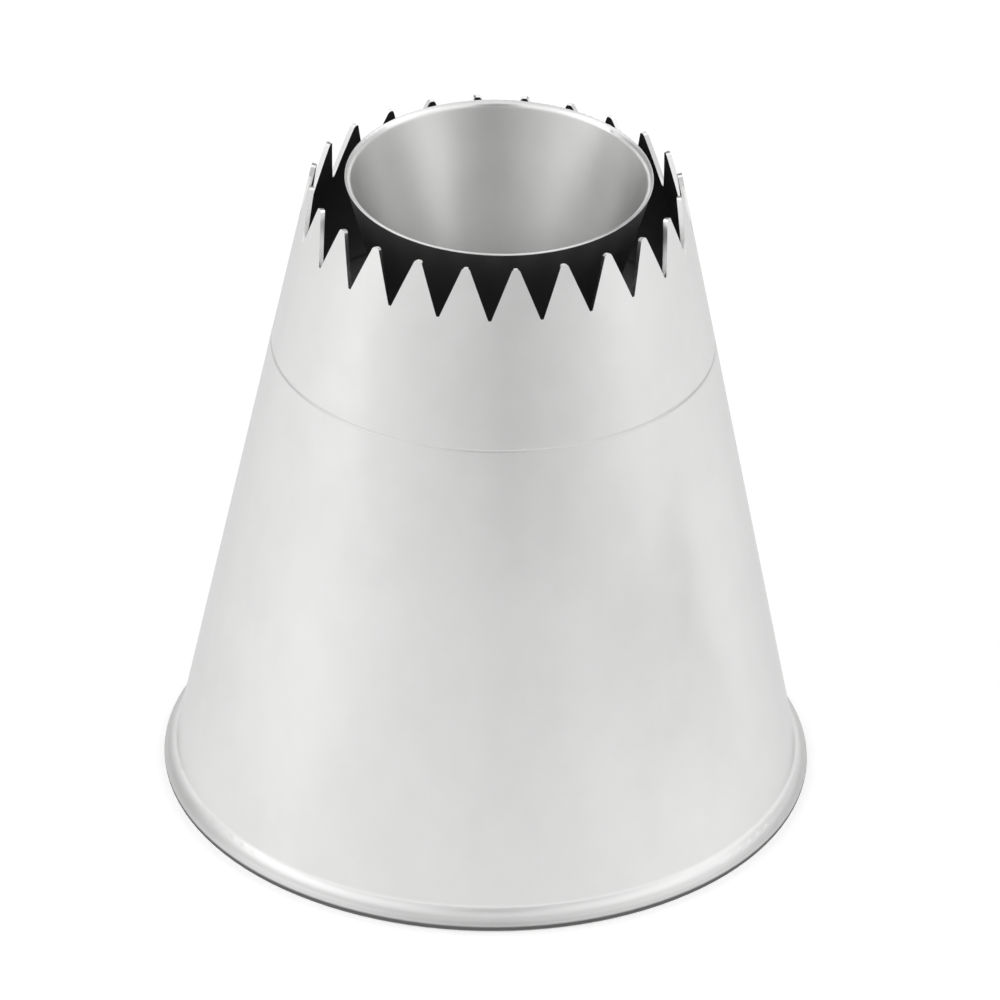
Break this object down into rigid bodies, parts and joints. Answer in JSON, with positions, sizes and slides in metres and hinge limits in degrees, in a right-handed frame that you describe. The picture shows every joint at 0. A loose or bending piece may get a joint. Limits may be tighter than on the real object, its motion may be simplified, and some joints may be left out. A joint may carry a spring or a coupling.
{
  "type": "piping nozzle",
  "caption": "Ring piping nozzle in satin stainless sheet: a toothed outer cone on a rolled rim, with a hollow inner cone held inside it by welded strip arms.",
  "frame": {"origin": "on the outer cone's axis, in the plane that its rolled rim stands on", "axes": "+Z along the outer cone's axis from the rolled rim to the toothed mouth; -Y is the side that the picture shows, to which the inner cone leans; the first support arm lies along +X"},
  "size_m": [0.0694, 0.0694, 0.0712],
  "materials": {
    "outer_steel": "satin, fine marks round the cone from polishing on a lathe",
    "inner_steel": "satin, a little duller inside",
    "arm_steel": "plain mill finish strip"
  },
  "bodies": {
    "root": {"outer_cone": "outer_steel", "inner_cone": "inner_steel", "support_arm_1": "arm_steel", "support_arm_2": "arm_steel", "support_arm_3": "arm_steel"}
  },
  "joints": []
}
